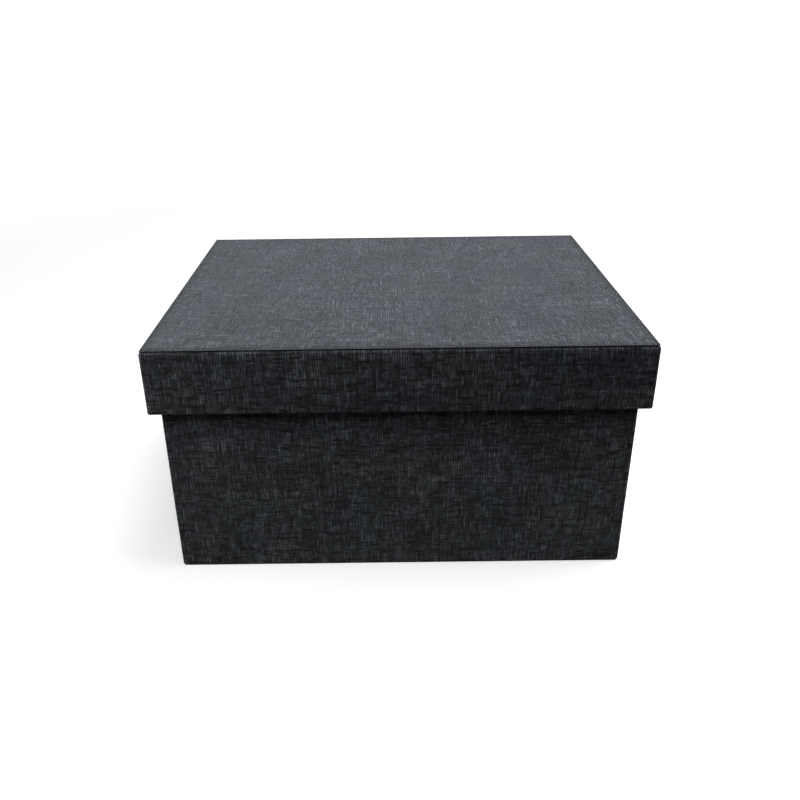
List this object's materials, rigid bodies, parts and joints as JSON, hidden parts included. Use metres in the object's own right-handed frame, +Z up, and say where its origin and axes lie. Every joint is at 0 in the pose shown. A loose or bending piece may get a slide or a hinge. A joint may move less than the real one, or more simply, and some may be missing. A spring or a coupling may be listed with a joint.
{
  "type": "gift box",
  "caption": "Rectangular rigid gift box with a deep tray base and a shallow lift-off lid, covered in charcoal slub linen cloth.",
  "frame": {"origin": "centre of the underside, on the surface the box stands on", "axes": "+X to the box's right along its width, +Y to its back along its depth, +Z up"},
  "size_m": [0.25, 0.204, 0.13],
  "materials": {
    "linen_cloth": "charcoal slub linen weave, paper-backed, matt",
    "greyboard": "raw grey recycled board",
    "kraft_tape": "brown gummed paper tape",
    "lining_paper": "uncoated black lining paper, faint laid texture",
    "infill_card": "plain manila card"
  },
  "bodies": {
    "base": {"base_bottom_board": "greyboard", "base_front_board": "greyboard", "base_back_board": "greyboard", "base_left_board": "greyboard", "base_right_board": "greyboard", "base_tape_front_left": "kraft_tape", "base_tape_front_right": "kraft_tape", "base_tape_back_left": "kraft_tape", "base_tape_back_right": "kraft_tape", "base_side_cover": "linen_cloth", "base_bottom_infill": "infill_card", "base_bottom_sheet": "linen_cloth", "base_wall_lining": "lining_paper", "base_floor_lining": "lining_paper"},
    "lid": {"lid_top_board": "greyboard", "lid_front_board": "greyboard", "lid_back_board": "greyboard", "lid_left_board": "greyboard", "lid_right_board": "greyboard", "lid_tape_front_left": "kraft_tape", "lid_tape_front_right": "kraft_tape", "lid_tape_back_left": "kraft_tape", "lid_tape_back_right": "kraft_tape", "lid_side_cover": "linen_cloth", "lid_top_infill": "infill_card", "lid_top_sheet": "linen_cloth", "lid_wall_lining": "lining_paper", "lid_ceiling_lining": "lining_paper"}
  },
  "joints": [
    {"name": "lid_lift", "type": "slide", "parent": "base", "child": "lid", "axis": [0, 0, 1], "range_m": [0, 0.15]}
  ]
}
